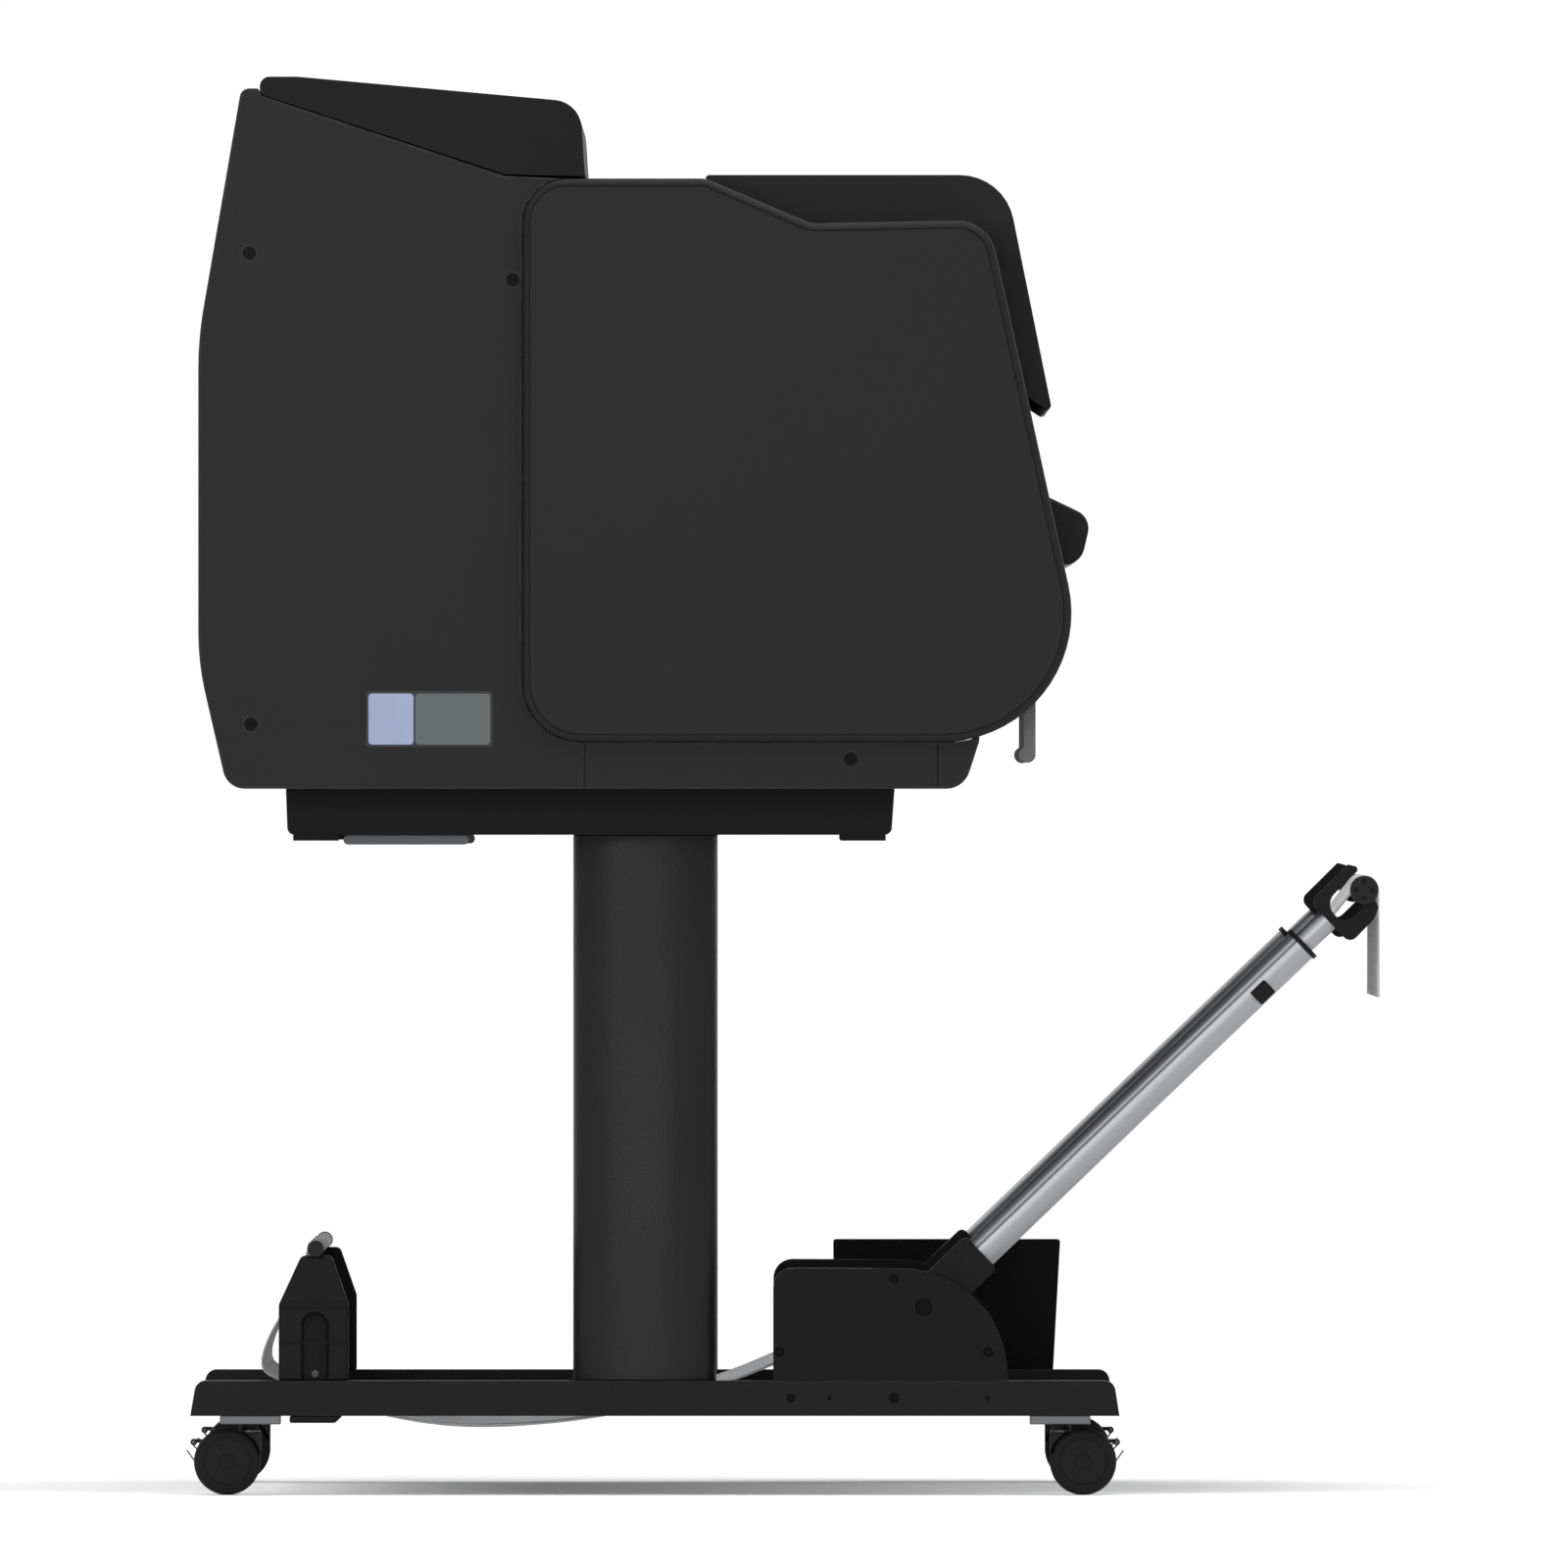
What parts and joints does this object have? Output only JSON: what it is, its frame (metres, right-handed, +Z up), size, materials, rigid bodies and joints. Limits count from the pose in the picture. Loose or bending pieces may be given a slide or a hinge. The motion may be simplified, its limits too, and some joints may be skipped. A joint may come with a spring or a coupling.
{
  "type": "large format plotter",
  "caption": "Wide roll-fed plotter on a castered two-leg stand, with opening covers, a parked print carriage and a cloth print basket on telescoping arms.",
  "frame": {"origin": "on the floor under the middle of the machine's box", "axes": "+Z up, the front faces -Y, the width runs along X"},
  "size_m": [1.39, 0.9803, 1.1672],
  "materials": {
    "stand_metal": "fine texture",
    "casing_plastic": "fine grain",
    "cover_plastic": "satin",
    "black_plastic": "fine grain",
    "grey_plastic": "satin",
    "window": "smoked",
    "arm_metal": "brushed",
    "zinc_steel": "zinc plated",
    "rod_metal": "satin",
    "wheel_rubber": "matte",
    "cloth": "woven",
    "tank_plastic": "translucent"
  },
  "bodies": {
    "stand": {"foot_rails": "stand_metal", "column_left": "stand_metal", "column_right": "stand_metal", "cross_stay": "stand_metal", "screws": "rod_metal", "caster_plates": "zinc_steel", "arm_hubs": "black_plastic", "rear_towers": "black_plastic", "rear_rod": "rod_metal", "basket_cloth_rear": "cloth", "accessory_pocket": "black_plastic", "base_tray": "black_plastic", "rear_cover": "casing_plastic", "side_panel_left": "casing_plastic", "side_panel_right": "casing_plastic", "end_cover_left": "casing_plastic", "end_cover_right": "casing_plastic", "front_panel": "casing_plastic", "feed_deck": "casing_plastic", "exit_guide": "casing_plastic", "rod_hooks": "grey_plastic", "operation_panel": "cover_plastic", "chassis": "zinc_steel", "platen": "black_plastic", "carriage_rail": "zinc_steel", "carriage_drive": "black_plastic", "ink_tanks": "tank_plastic", "power_inlet": "black_plastic"},
    "roll_cover": {"roll_cover": "cover_plastic"},
    "top_cover": {"top_cover": "cover_plastic", "cover_window": "window"},
    "ink_lid_left": {"ink_lid_left": "casing_plastic"},
    "ink_lid_right": {"ink_lid_right": "casing_plastic"},
    "power_key": {"power_key": "grey_plastic"},
    "arms": {"arm_sockets": "black_plastic", "arm_tubes": "arm_metal", "basket_cloth_front": "cloth"},
    "arm_ends": {"inner_tubes": "arm_metal", "rod_holders": "black_plastic", "front_rod": "rod_metal"},
    "release_button_left": {"release_button_left": "black_plastic"},
    "release_button_right": {"release_button_right": "black_plastic"},
    "feed_roller": {"feed_roller": "wheel_rubber"},
    "pinch_rollers": {"pinch_rollers": "wheel_rubber"},
    "carriage": {"carriage": "black_plastic"},
    "drive_pulley": {"drive_pulley": "zinc_steel"},
    "roll_spindle": {"roll_spindle": "rod_metal"},
    "maintenance_cartridge": {"maintenance_cartridge": "black_plastic"},
    "caster_fork_fl": {"caster_fork_fl": "black_plastic"},
    "caster_wheel_fl": {"caster_wheel_fl": "wheel_rubber"},
    "brake_pedal_fl": {"brake_pedal_fl": "grey_plastic"},
    "caster_fork_rl": {"caster_fork_rl": "black_plastic"},
    "caster_wheel_rl": {"caster_wheel_rl": "wheel_rubber"},
    "brake_pedal_rl": {"brake_pedal_rl": "grey_plastic"},
    "caster_fork_fr": {"caster_fork_fr": "black_plastic"},
    "caster_wheel_fr": {"caster_wheel_fr": "wheel_rubber"},
    "brake_pedal_fr": {"brake_pedal_fr": "grey_plastic"},
    "caster_fork_rr": {"caster_fork_rr": "black_plastic"},
    "caster_wheel_rr": {"caster_wheel_rr": "wheel_rubber"},
    "brake_pedal_rr": {"brake_pedal_rr": "grey_plastic"}
  },
  "joints": [
    {"name": "roll_cover_hinge", "type": "hinge", "parent": "stand", "child": "roll_cover", "pos_m": [0, 0.428, 1.16], "axis": [-1, 0, 0], "range_deg": [0, 80]},
    {"name": "top_cover_hinge", "type": "hinge", "parent": "stand", "child": "top_cover", "pos_m": [0, 0.06, 1.083], "axis": [-1, 0, 0], "range_deg": [0, 60]},
    {"name": "ink_lid_left_hinge", "type": "hinge", "parent": "stand", "child": "ink_lid_left", "pos_m": [-0.62, 0.162, 1.0834], "axis": [-1, 0, 0], "range_deg": [0, 65]},
    {"name": "ink_lid_right_hinge", "type": "hinge", "parent": "stand", "child": "ink_lid_right", "pos_m": [0.62, 0.162, 1.0834], "axis": [-1, 0, 0], "range_deg": [0, 65]},
    {"name": "power_key_press", "type": "slide", "parent": "stand", "child": "power_key", "axis": [0, 0.1508, -0.9886], "range_m": [0, 0.001], "stiffness_N_per_m": 800, "springref_m": -0.0005},
    {"name": "arm_tilt", "type": "hinge", "parent": "stand", "child": "arms", "pos_m": [0, -0.1128, 0.1547], "axis": [-1, 0, 0], "range_deg": [-24, 20]},
    {"name": "arm_extend", "type": "slide", "parent": "arms", "child": "arm_ends", "axis": [0, -0.7218, 0.6921], "range_m": [-0.02, 0.1]},
    {"name": "release_button_left_press", "type": "slide", "parent": "arms", "child": "release_button_left", "axis": [1, 0, 0], "range_m": [0, 0.0015], "stiffness_N_per_m": 600, "springref_m": -0.0005},
    {"name": "release_button_right_press", "type": "slide", "parent": "arms", "child": "release_button_right", "axis": [-1, 0, 0], "range_m": [0, 0.0015], "stiffness_N_per_m": 600, "springref_m": -0.0005},
    {"name": "feed_roller_spin", "type": "hinge", "parent": "stand", "child": "feed_roller", "pos_m": [0, 0.038, 0.873], "axis": [1, 0, 0], "continuous": true},
    {"name": "pinch_roller_spin", "type": "hinge", "parent": "stand", "child": "pinch_rollers", "pos_m": [0, 0.038, 0.893], "axis": [1, 0, 0], "continuous": true},
    {"name": "carriage_travel", "type": "slide", "parent": "stand", "child": "carriage", "axis": [-1, 0, 0], "range_m": [0, 0.93]},
    {"name": "drive_pulley_spin", "type": "hinge", "parent": "stand", "child": "drive_pulley", "pos_m": [-0.515, 0.06, 0.98], "axis": [0, 0, 1], "continuous": true},
    {"name": "roll_spindle_spin", "type": "hinge", "parent": "stand", "child": "roll_spindle", "pos_m": [0, 0.33, 1.01], "axis": [1, 0, 0], "continuous": true},
    {"name": "maintenance_cartridge_slide", "type": "slide", "parent": "stand", "child": "maintenance_cartridge", "axis": [1, 0, 0], "range_m": [0, 0.11]},
    {"name": "caster_swivel_fl", "type": "hinge", "parent": "stand", "child": "caster_fork_fl", "pos_m": [-0.56, -0.226, 0.055], "axis": [0, 0, 1], "continuous": true},
    {"name": "caster_roll_fl", "type": "hinge", "parent": "caster_fork_fl", "child": "caster_wheel_fl", "pos_m": [-0.56, -0.244, 0.0275], "axis": [1, 0, 0], "continuous": true},
    {"name": "brake_pedal_hinge_fl", "type": "hinge", "parent": "caster_fork_fl", "child": "brake_pedal_fl", "pos_m": [-0.56, -0.2717, 0.0435], "axis": [-1, 0, 0], "range_deg": [0, 30]},
    {"name": "caster_swivel_rl", "type": "hinge", "parent": "stand", "child": "caster_fork_rl", "pos_m": [-0.56, 0.443, 0.055], "axis": [0, 0, 1], "continuous": true},
    {"name": "caster_roll_rl", "type": "hinge", "parent": "caster_fork_rl", "child": "caster_wheel_rl", "pos_m": [-0.56, 0.461, 0.0275], "axis": [1, 0, 0], "continuous": true},
    {"name": "brake_pedal_hinge_rl", "type": "hinge", "parent": "caster_fork_rl", "child": "brake_pedal_rl", "pos_m": [-0.56, 0.4887, 0.0435], "axis": [1, 0, 0], "range_deg": [0, 30]},
    {"name": "caster_swivel_fr", "type": "hinge", "parent": "stand", "child": "caster_fork_fr", "pos_m": [0.56, -0.226, 0.055], "axis": [0, 0, 1], "continuous": true},
    {"name": "caster_roll_fr", "type": "hinge", "parent": "caster_fork_fr", "child": "caster_wheel_fr", "pos_m": [0.56, -0.244, 0.0275], "axis": [1, 0, 0], "continuous": true},
    {"name": "brake_pedal_hinge_fr", "type": "hinge", "parent": "caster_fork_fr", "child": "brake_pedal_fr", "pos_m": [0.56, -0.2717, 0.0435], "axis": [-1, 0, 0], "range_deg": [0, 30]},
    {"name": "caster_swivel_rr", "type": "hinge", "parent": "stand", "child": "caster_fork_rr", "pos_m": [0.56, 0.443, 0.055], "axis": [0, 0, 1], "continuous": true},
    {"name": "caster_roll_rr", "type": "hinge", "parent": "caster_fork_rr", "child": "caster_wheel_rr", "pos_m": [0.56, 0.461, 0.0275], "axis": [1, 0, 0], "continuous": true},
    {"name": "brake_pedal_hinge_rr", "type": "hinge", "parent": "caster_fork_rr", "child": "brake_pedal_rr", "pos_m": [0.56, 0.4887, 0.0435], "axis": [1, 0, 0], "range_deg": [0, 30]}
  ],
  "couplings": [
    {"joint": "pinch_roller_spin", "follows": "feed_roller_spin", "ratio": -1.5385},
    {"joint": "drive_pulley_spin", "follows": "carriage_travel", "rad_per_m": 100}
  ]
}
